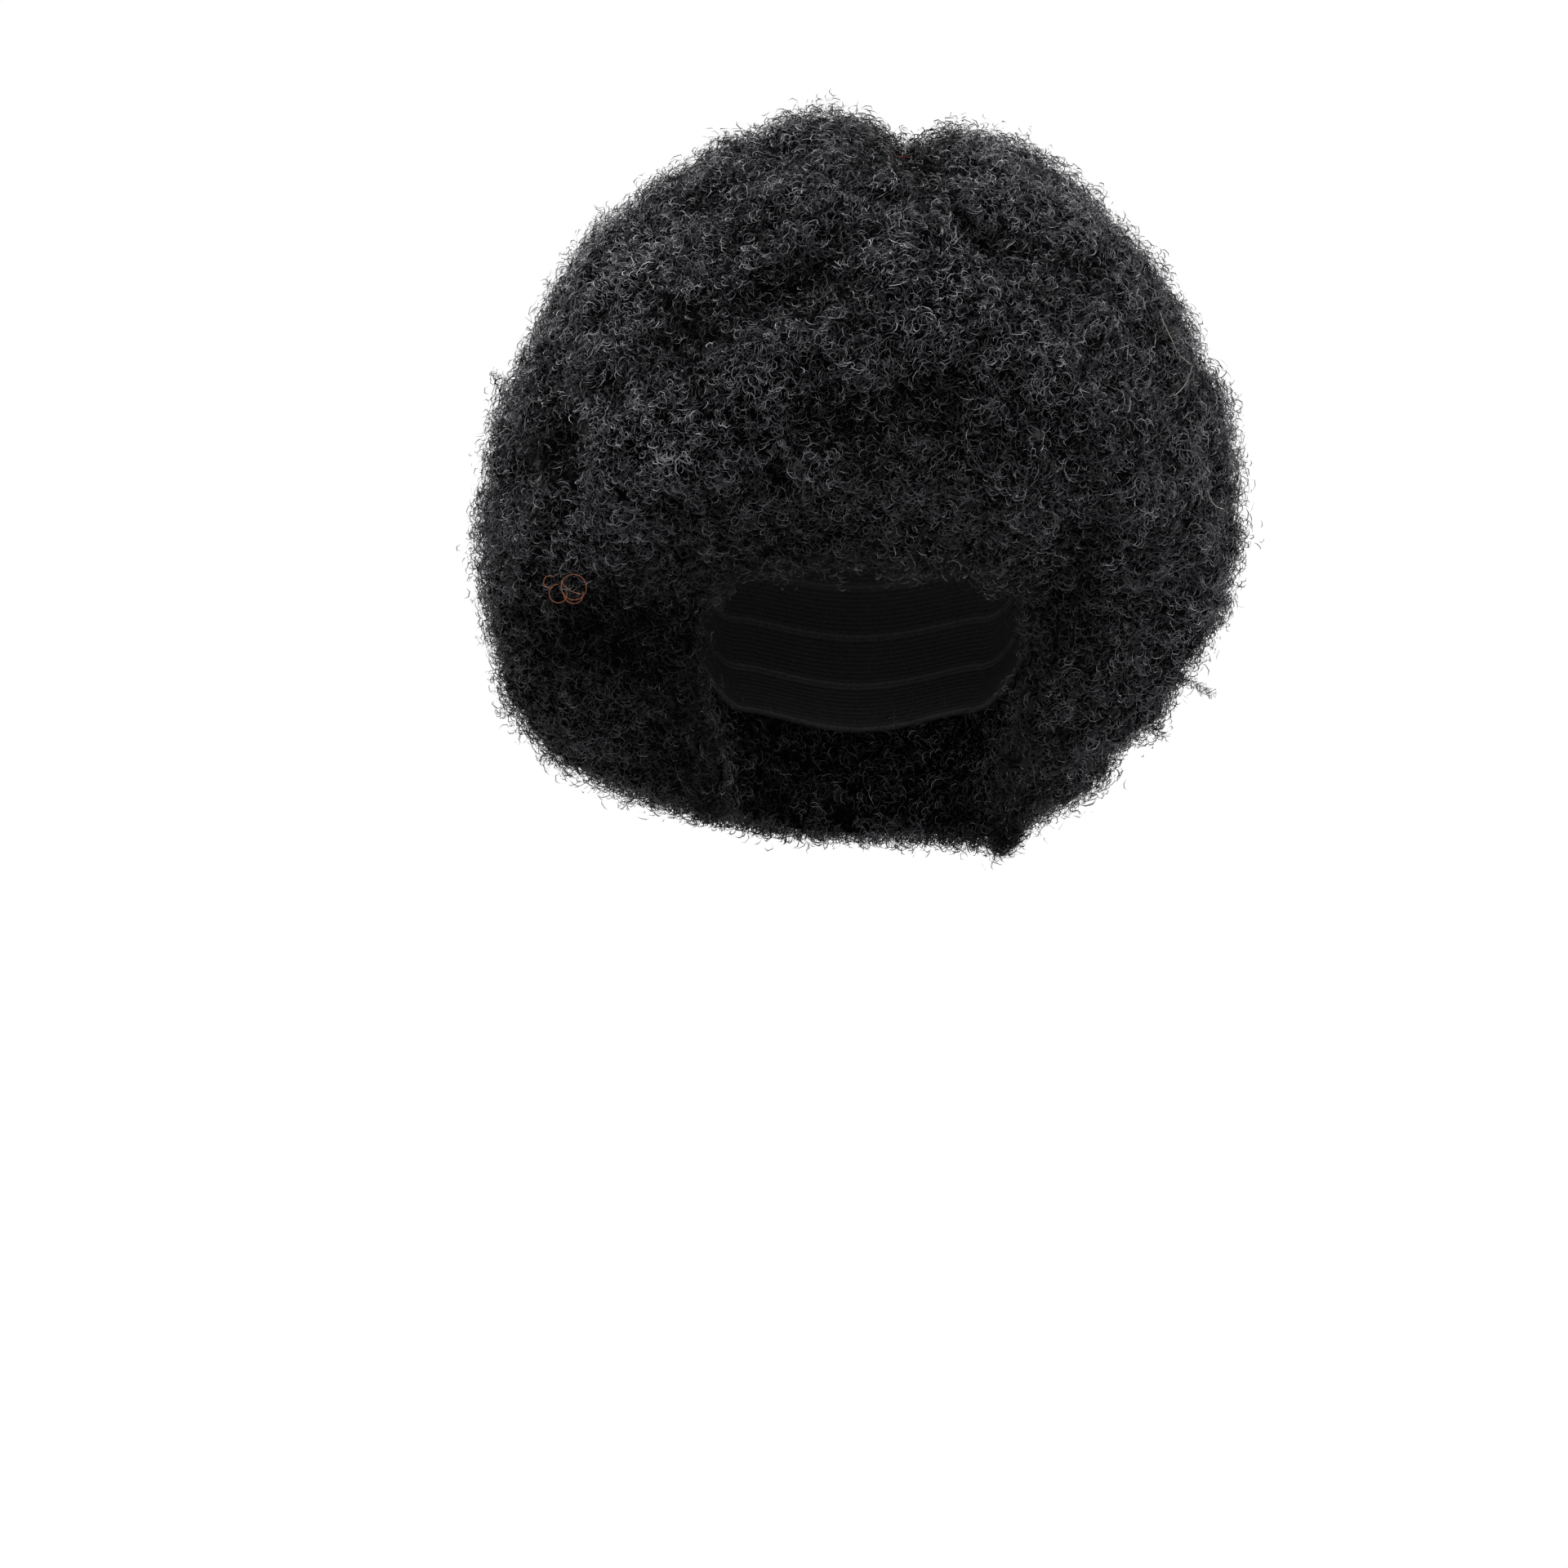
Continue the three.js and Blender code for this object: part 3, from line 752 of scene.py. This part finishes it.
def even_places(grid, normals, weight, count, rng):
    """Places spread evenly by area times a weight: cells from the running sum, then a random spot in each."""
    a, b, c, d = grid[:-1, :-1], grid[1:, :-1], grid[1:, 1:], grid[:-1, 1:]
    area = np.linalg.norm(np.cross(c - a, d - b), axis=-1) / 2 * weight[:-1, :-1]
    running = np.cumsum(area.ravel()) / area.sum()
    cell = np.searchsorted(running, (np.arange(count) + rng.random(count)) / count).clip(0, area.size - 1)
    row, column = np.divmod(cell, area.shape[1])
    u, v = rng.random((2, count, 1))
    mixed = []
    for field in (grid, normals):
        upper = field[row, column] * (1 - v) + field[row, column + 1] * v
        lower = field[row + 1, column] * (1 - v) + field[row + 1, column + 1] * v
        mixed.append(upper * (1 - u) + lower * u)
    return mixed[0], unit(mixed[1])


print("curls are helices of strip")

# %% [markdown]
# The strips of one section are joined in one piece. They could be instances of a few curls, but then no two
# neighbours would differ as real ones do. A bake map gives every strip a square of its own.

# %% Curls over each section
# Millimetres, radians and shares. A pair is a range, a beta curve's two numbers, or a mean and its spread
FIBRE_WIDTH, SEGMENTS, TOGETHER = 0.25, 3, 4
CREST, CREST_BETA = (-4.0, 4.2), (1.3, 2.3)
RADIUS, RADIUS_BETA, RADIUS_VARY = (1.2, 5.4), (1.3, 3.0), (0.8, 1.2)
LENGTH, TURNS, PITCH = (5, 9), (0.16, 0.6), (1.0, 3.5)
AXIS_SPREAD, AXIS_OUT, AXIS_ODDS = 0.7, [0.2, 1.2], [0.6, 0.4]
BOWED, BOW, PHASE, SCATTER = 0.85, (0, 0.6), (0, 0.35), (0, 2.2)
LEAN, TWIST = (1.4, 0.35), (0, 1.2)
# Strips deep in the mass are wider, and darker by painted shade. Both ease off up to these heights
DEEP_WIDTH, LESS_WIDTH, NARROWEST, WIDTH_VARY = 2.0, 0.4, 1.0, (0.75, 1.2)
DEEP_SHADE, UNSHADED_FROM, TONE_VARY, TONE_POWER = 0.3, 2.52, (0.25, 1.0), 1.6
# Painted shade towards a strip's tips, and a random tilt of its tone along it
TIP_SHADE, TONE_SLOPE = 0.4, (-0.7, 0.7)
# The edge of the front opening is at this share across a side, along this share of its length
FACE_SIDE, FACE_SHARE, BESIDE_PART = {"hair_left": 0.0, "hair_right": 1.0}, 0.54, 0.5
STEP_IN, STEP_UP = 0.2, 0.04
LIP_STAND, LIP_SINK, CORNER = 9.0, 6.0, 0.2
# Curls are denser at the front opening. Below the crown one in 11 is on the lining and one in 14 on the lip
EDGE_CROWD, LINING_FROM, LINING_PART, LIP_PART = 0.6, 0.58, 11, 14
PLACE_GRID, LINING_GRID = (90, 90), (60, 30)
MAP_MARGIN = 0.1
FIRST_SEED = 11
CURL_COUNT = dict(zip(SECTIONS, [41000, 41000, 44500, 48500, 44500]))


def strip_maps(piece, strips, segments):
    """Numbers across each strip, -1 and 1 at its sides and 0 at its tips, and a bake map of squares."""
    squares = int(np.ceil(np.sqrt(strips)))
    index = np.arange(strips)
    corner = np.stack([index % squares, index // squares], -1)[:, None, :]
    across = np.concatenate([[0], np.tile([-1, 1], segments - 1), [0]])
    paint(piece, "across", np.tile(across, strips))
    along = MAP_MARGIN + (1 - 2 * MAP_MARGIN) * strip_shares(segments)
    cell = np.stack([0.5 + (0.5 - MAP_MARGIN) * across, along], -1)
    each = ((corner + cell) / squares).reshape(-1, 2)
    layer = piece.data.uv_layers.new(name="OFBake")
    order = np.empty(len(piece.data.loops), np.int32)
    piece.data.loops.foreach_get("vertex_index", order)
    layer.data.foreach_set("uv", each[order].astype(np.float32).ravel())


def strip_piece(name, points, finish, replaces, tone):
    """One piece of strips, from an array of points for each strip and the tones of the points."""
    strips, segments = len(points), points.shape[1] // 2
    faces = strip_faces(strips, segments)
    piece = new_piece(name, points.reshape(-1, 3), faces, finish, replaces)
    paint(piece, "tone", np.broadcast_to(tone, points.shape[:2]))
    strip_maps(piece, strips, segments)
    return piece


def lip_places(name, count, rng):
    """Places on the wall between skin and lining, along the lip and the opening, less far out at a corner."""
    across, down, share = rng.random((3, count))
    beside = (rng.random(count) < BESIDE_PART) & (name in FACE_SIDE)
    across = np.where(beside, FACE_SIDE.get(name, 0.0), across)
    down = np.where(beside, 1 - FACE_SHARE * down, 1.0)
    skin = section_skin(name, across, down)
    inward = np.where(beside, np.abs(across - STEP_IN), across)
    behind = section_skin(name, inward, down - np.where(beside, 0, STEP_UP))
    out = unit(skin - behind)
    wall = skin + (section_lining(name, across, down) - skin) * share[:, None]
    corner = np.where(beside, 1 - down, np.abs(across - FACE_SIDE.get(name, np.inf)))
    stand = LIP_STAND * tuft_relief(wall) * between(corner, 0, CORNER) - rng.uniform(0, LIP_SINK, count)
    return wall + out * stand[:, None], out


def curl_places(name, count, rng):
    """Places and outward directions of curls: on the skin, the lining below the cap's rim and the lip."""
    skin = grid_of(section_skin, name, *PLACE_GRID)
    edge = 1 + EDGE_CROWD * (1 - depth_at_edge(azimuth_of(skin), skin[..., 2]))
    if name == "hair_crown":
        return even_places(skin, normals_of(skin), edge, count, rng)
    lining = grid_of(section_lining, name, *LINING_GRID, LINING_FROM)
    some, few = count // LINING_PART, count // LIP_PART
    parts = [
        even_places(skin, normals_of(skin), edge, count - some - few, rng),
        even_places(lining, -normals_of(lining), np.ones(lining.shape[:2]), some, rng),
        lip_places(name, few, rng)]
    return [np.concatenate(fields) for fields in zip(*parts)]


def curls(name, count, seed):
    """Curls in fours over a section: radii of 1.2 to 5.4 mm, 5 to 9 mm of fibre each, most bowed outwards."""
    rng = np.random.default_rng(seed)
    place, out = curl_places(name, count // TOGETHER, rng)
    groups = len(place)
    crest = CREST[0] + (CREST[1] - CREST[0]) * rng.beta(*CREST_BETA, groups)
    any_way = rng.normal(0, AXIS_SPREAD, (groups, 3))
    axis = unit(any_way + out * rng.choice(AXIS_OUT, (groups, 1), p=AXIS_ODDS))
    side = unit(out - axis * (axis * out).sum(-1, keepdims=True))
    radius = RADIUS[0] + (RADIUS[1] - RADIUS[0]) * rng.beta(*RADIUS_BETA, groups)
    turns = np.clip(rng.uniform(*LENGTH, groups) / (2 * np.pi * radius), *TURNS)
    bowed = rng.random(groups) < BOWED
    bow = np.where(bowed, rng.normal(*BOW, groups), rng.uniform(-np.pi, np.pi, groups))
    rise = crest + raised(place)
    centre = place + out * (rise - radius * np.cos(bow) * (side * out).sum(-1))[:, None]
    # Painted light and shade: how much light reaches the place, darker still for strips deep in the mass
    light = painted_light(place) * (DEEP_SHADE + (1 - DEEP_SHADE) * between(crest, CREST[0], UNSHADED_FROM))
    strong = FIBRE_WIDTH * (DEEP_WIDTH - LESS_WIDTH * between(crest, CREST[0], NARROWEST))
    group = np.repeat(np.arange(groups), TOGETHER)
    many = len(group)
    points = helix_strips(
        centre[group] + rng.normal(*SCATTER, (many, 3)), axis[group], side[group],
        radius[group] * rng.uniform(*RADIUS_VARY, many), turns[group],
        (bow - np.pi * turns)[group] + rng.normal(*PHASE, many), rng.uniform(*PITCH, many),
        strong[group] * rng.uniform(*WIDTH_VARY, many), rng.normal(*LEAN, many),
        rng.normal(*TWIST, many), SEGMENTS)
    shares = strip_shares(SEGMENTS)
    # Painted light along each strip: full at its middle and in painted shade at its tips, tilted at random
    along = TIP_SHADE + (1 - TIP_SHADE) * np.sin(np.pi * shares)
    along = along * (1 + rng.uniform(*TONE_SLOPE, (many, 1)) * (shares - 0.5))
    # A strip's tone: its own random tone times the painted light and shade
    tone = (light[group] * rng.uniform(*TONE_VARY, many) ** TONE_POWER)[:, None] * along
    return strip_piece(name + "_curls", points, CURL_FINISH, [name], tone)


for seed, (name, count) in enumerate(CURL_COUNT.items()):
    piece = curls(name, count, seed + FIRST_SEED)
    print(piece.name, len(piece.data.polygons), "triangles")

# %% [markdown]
# ## Strays
# A few single hairs of other colours have caught in the curls: a coppery one in loops at the front, a short
# red thread near the top and some pale ones at the side. They could be curves with a bevel, but strips are
# lighter and share the curls' finish. Each runs along an arc as it is seen from the front, just outside the
# curls. Its depth is read off the hair and smoothed by a cubic.

# %% Stray hairs
STRAYS = [
    # x, z, radius, turns, phase (0 at the left, then over the bottom to the right), colour
    (-119.7, -85.8, 5.2, 1.1, 0.0, "copper"),
    (-126.3, -88.4, 3.7, 0.8, 4.6, "copper"),
    (-129.6, -83.7, 2.5, 0.7, 4.0, "copper"),
    (-119.9, -88.4, 4.0, 0.55, -0.1, "copper"),
    (-116.6, -79.4, 9.0, 0.18, 0.41, "copper"),
    (15.4, 96.9, 6.0, 0.2, 0.94, "red"),
    (310.2, 94.3, 200.0, 0.0148, 0.337, "pale"),
    (143.9, 23.4, 20.0, 0.07, 0.67, "pale"),
    (115.2, 8.3, 20.0, 0.136, 2.14, "pale"),
    (148.1, -46.6, 7.0, 0.27, -0.1, "pale"),
]
STRAY_COLOURS = {"copper": (0.32, 0.11, 0.05), "red": (0.13, 0.015, 0.015), "pale": (0.2, 0.185, 0.16)}
STRAY_SEGMENTS, STRAY_WIDTH, STRAY_STAND, STRAY_ROUGHNESS = 28, 0.26, 4.5, 0.4
FRONT_GRID, FRONT_HALF = (120, 120), 10.0


def front_of_hair(x, z):
    """The y of the curls' outside at places seen from the front: that of the skins' nearest point, raised."""
    outside = []
    for name in ("hair_crown", "hair_fringe", "hair_left", "hair_right"):
        skin = grid_of(section_skin, name, *FRONT_GRID)
        outside.append((skin + STRAY_STAND * normals_of(skin)).reshape(-1, 3))
    outside = np.concatenate(outside)
    outside = outside[outside[:, 1] < FRONT_HALF]
    away = np.hypot(outside[:, 0] - x[:, None], outside[:, 2] - z[:, None])
    return outside[away.argmin(1), 1]


def strays(colour):
    """Strips that face the front, along arcs: x - radius * cos w and z - radius * sin w."""
    rows = np.array([row[:5] for row in STRAYS if row[5] == colour], float)
    x, z, radius, turns, phase = rows.T[..., None]
    t = np.linspace(0, 1, STRAY_SEGMENTS + 1)
    w = phase + 2 * np.pi * turns * t
    spoke = np.stack([-np.cos(w), 0 * w, -np.sin(w)], -1)
    arc = np.stack([x + 0 * w, 0 * w, z + 0 * w], -1) + radius[..., None] * spoke
    depth = front_of_hair(arc[..., 0].ravel(), arc[..., 2].ravel()).reshape(w.shape)
    powers = np.vander(t, 4)
    arc[..., 1] = (powers @ np.linalg.lstsq(powers, depth.T, rcond=None)[0]).T
    points = strip_points(arc, spoke * STRAY_WIDTH / 2)
    tint = STRAY_COLOURS[colour]
    finish = curl_finish("stray " + colour, tint, tint, STRAY_ROUGHNESS)
    return strip_piece("stray_" + colour, points, finish, [], 1.0)


for colour in STRAY_COLOURS:
    print(strays(colour).name, STRAY_SEGMENTS, "segments each")

# %% [markdown]
# Here and there a strand has come loose and stands away from the edge. Short arcs would fall apart into
# specks there, so each fibre is a long helix along a line from the hair outwards, several to each line.

# %% Loose strands
LOOSE = np.array([
    # start and end, as x, y, z
    [[128, -6, -117], [152, -8, -131]], [[124, -6, -121], [141, -7, -124]],
    [[111, -8, -138], [131, -9, -148]], [[94, -10, -157], [106, -11, -164]],
    [[146, -4, -94], [157, -5, -100]], [[-152, -3, -2], [-158, -3, 11]],
    [[-128, -8, -150], [-133, -9, -158]], [[-36, -8, 108], [-39, -8, 116]],
], float)
LOOSE_FIBRES, LOOSE_WIDTH, LOOSE_TONE, LOOSE_SEED = 14, 0.32, 0.06, 31
LOOSE_RADIUS, LOOSE_PITCH, LOOSE_LEAN = (0.8, 2.0), (4, 7), (1.4, 0.3)
LOOSE_BACK, LOOSE_SPREAD = (-6, 0), 0.5


def loose_strands():
    """Helices along each line: the axis is the line, the pitch 4 to 7 mm, the radius 0.8 to 2 mm."""
    rng = np.random.default_rng(LOOSE_SEED)
    lines = np.repeat(LOOSE, LOOSE_FIBRES, 0)
    many = len(lines)
    run = lines[:, 1] - lines[:, 0]
    axis = unit(run)
    side = unit(np.cross(axis, rng.normal(size=(many, 3))))
    pitch = rng.uniform(*LOOSE_PITCH, many)
    shift = axis * rng.uniform(*LOOSE_BACK, (many, 1)) + rng.normal(0, LOOSE_SPREAD, (many, 3))
    points = helix_strips(
        lines.mean(1) + shift, axis, side, rng.uniform(*LOOSE_RADIUS, many),
        np.linalg.norm(run, axis=-1) / pitch, rng.uniform(0, 6.3, many), pitch, np.full(many, LOOSE_WIDTH),
        rng.normal(*LOOSE_LEAN, many), np.ones(many), STRAY_SEGMENTS)
    return strip_piece("loose_strands", points, CURL_FINISH, [], LOOSE_TONE)


print(loose_strands().name, len(LOOSE), "strands of", LOOSE_FIBRES, "fibres")

# %% [markdown]
# ## The cap
# The cap is a thin stretch knit, gathered in a hem along its rim. It shows only from below and through the
# front opening. A dome with a Solidify modifier would do, but the hem and the ridges are on the inside only.
# So its wall is one loop per column, bent to the hollow's oval, with low ridges where the fibre is sewn on.

# %% The cap's wall
WEFT_ROWS, COURSES = 9, 100
RIDGE_HEIGHT, RIDGE_SHARP, RIDGE_END, RIDGE_FADE = 0.9, 6, 0.92, 0.05
HEM_HEIGHT, HEM_FROM = 1.3, (0.9, 0.93)
KNIT_DARK, KNIT_PALE = (0.01, 0.01, 0.011), (0.065, 0.065, 0.07)
SEWN_EDGE, BETWEEN_ROWS = (0.04, 0.1), 0.45


def cap_surface(columns, rows):
    """Loops down the outside and up the inside of the cap, which has ridges along the sewn rows and a hem."""
    around = np.linspace(0, 360, columns, endpoint=False)
    share, azimuth = np.meshgrid(np.linspace(0, 1, rows), around, indexing="ij")
    ridge = RIDGE_HEIGHT * np.clip(np.cos(share * WEFT_ROWS * 2 * np.pi), 0, 1) ** RIDGE_SHARP
    ridge = ridge * between(RIDGE_END - share, 0, RIDGE_FADE)
    hem = HEM_HEIGHT * between(share, *HEM_FROM)
    outside = cap_point(azimuth, share, CAP_WALL)
    inside = cap_point(azimuth, share, -ridge - hem)
    return np.concatenate([outside, inside[::-1]]), np.concatenate([share, share[::-1]])


def knit_finish():
    """Black matt knit: fine courses along the cap's rows, broken up by a noise, paler along the sewn rows."""
    material, tree, shader = new_finish("cap knit", 0.85, 0.2)
    place = node(tree, "ShaderNodeTexCoord").outputs["Object"]
    share = node(tree, "ShaderNodeAttribute", attribute_name="tone").outputs["Fac"]
    course = maths(tree, "PINGPONG", share, 0.5)
    fuzz = node(tree, "ShaderNodeTexNoise", {"Vector": place, "Scale": 700.0, "Detail": 2.0})
    knit = maths(tree, "ADD", course, fuzz.outputs["Fac"])
    row = maths(tree, "MULTIPLY", share, WEFT_ROWS / COURSES)
    middle = maths(tree, "PINGPONG", row, 0.5)
    sewn = smooth_step(tree, middle, *SEWN_EDGE, 1.0, BETWEEN_ROWS)
    pale = maths(tree, "MULTIPLY", knit, sewn)
    colour_between(tree, shader, pale, KNIT_DARK, KNIT_PALE)
    bump = node(tree, "ShaderNodeBump", {"Height": knit, "Strength": 0.6, "Distance": 0.0005})
    tree.links.new(bump.outputs["Normal"], shader.inputs["Normal"])
    return material


cap_grid, cap_share = cap_surface(columns=80, rows=44)
cap_quads = grid_quads(*cap_grid.shape[:2], wrap_columns=True)
cap_piece = new_piece("cap_knit", cap_grid.reshape(-1, 3), cap_quads, knit_finish(), ["cap"])
paint(cap_piece, "tone", cap_share * COURSES)
weld(cap_piece)
print(cap_piece.name, len(cap_piece.data.polygons) * 2, "triangles")

# %% [markdown]
# ## Studio
# A plain pale floor and background, large soft lights from above, both sides, the front and the back, and a
# camera straight in front, near the height of the hair's lip, as in the photograph. A floor as white as this
# would light black hair from below too much, so what the eye sees of it and what it casts are two shaders.

# %% Floor, lights and camera
FLOOR_Z, FLOOR_HALF = -0.455, 30
VIEW_CENTRE, VIEW_WIDTH = (-0.033, -0.167), 0.669
DISTANCE, SENSOR = 2.2, 36.0


def seen_and_cast(tree, seen, cast):
    """A mix of two shaders or backgrounds: one for what the eye sees, a dimmer one for the light it casts."""
    path = node(tree, "ShaderNodeLightPath")
    both = {0: path.outputs["Is Camera Ray"], 1: cast.outputs[0], 2: seen.outputs[0]}
    return node(tree, "ShaderNodeMixShader", both).outputs[0]


def pale_floor():
    """A large pale square. It looks white, and throws back only part of the light, as a far floor does."""
    corners = [(-1, -1), (1, -1), (1, 1), (-1, 1)]
    mesh = bpy.data.meshes.new("floor")
    mesh.from_pydata([(FLOOR_HALF * x, FLOOR_HALF * y, FLOOR_Z) for x, y in corners], [], [(0, 1, 2, 3)])
    material = bpy.data.materials.new("pale floor")
    material.use_nodes = True
    tree = material.node_tree
    seen = node(tree, "ShaderNodeEmission", {"Color": (1, 1, 1, 1), "Strength": 1.0})
    cast = node(tree, "ShaderNodeBsdfDiffuse", {"Color": (0.3, 0.3, 0.3, 1)})
    tree.links.new(seen_and_cast(tree, seen, cast), tree.nodes["Material Output"].inputs["Surface"])
    mesh.materials.append(material)
    floor = bpy.data.objects.new("floor", mesh)
    bpy.context.collection.objects.link(floor)


def soft_light(name, place, target, size, power):
    """A square area light that looks at a point."""
    data = bpy.data.lights.new(name, "AREA")
    data.size = size
    data.energy = power
    lamp = bpy.data.objects.new(name, data)
    lamp.location = place
    lamp.rotation_euler = Vector(np.subtract(target, place)).to_track_quat("-Z", "Y").to_euler()
    bpy.context.collection.objects.link(lamp)


def white_studio():
    """A white background that lights the wig only faintly."""
    world = bpy.data.worlds.new("studio")
    world.use_nodes = True
    tree = world.node_tree
    seen = tree.nodes["Background"]
    seen.inputs["Color"].default_value = (1, 1, 1, 1)
    cast = node(tree, "ShaderNodeBackground", {"Color": (1, 1, 1, 1), "Strength": 0.12})
    tree.links.new(seen_and_cast(tree, seen, cast), tree.nodes["World Output"].inputs["Surface"])
    bpy.context.scene.world = world


pale_floor()
white_studio()
soft_light("top", (-0.3, 0.1, 1.9), (0, 0, 0), 1.3, 94)
soft_light("left", (-1.9, -0.1, 0.9), (0, 0, 0), 1.0, 34)
soft_light("right", (1.9, -0.4, -0.1), (0, 0, -0.08), 1.0, 46)
soft_light("front", (0.2, -2.4, 0.9), (0, 0, -0.05), 1.4, 20.5)
soft_light("back", (-0.3, 2.2, 0.5), (0, 0, 0), 2.4, 42)
bpy.context.scene.view_settings.view_transform = "Standard"

lens = bpy.data.cameras.new("camera")
lens.sensor_width = SENSOR
lens.lens = SENSOR * DISTANCE / VIEW_WIDTH
camera = bpy.data.objects.new("camera", lens)
camera.location = (VIEW_CENTRE[0], -DISTANCE, VIEW_CENTRE[1])
camera.rotation_euler = (np.pi / 2, 0, 0)
bpy.context.collection.objects.link(camera)
bpy.context.scene.camera = camera
print("lens", round(lens.lens, 1), "mm at", DISTANCE, "m")
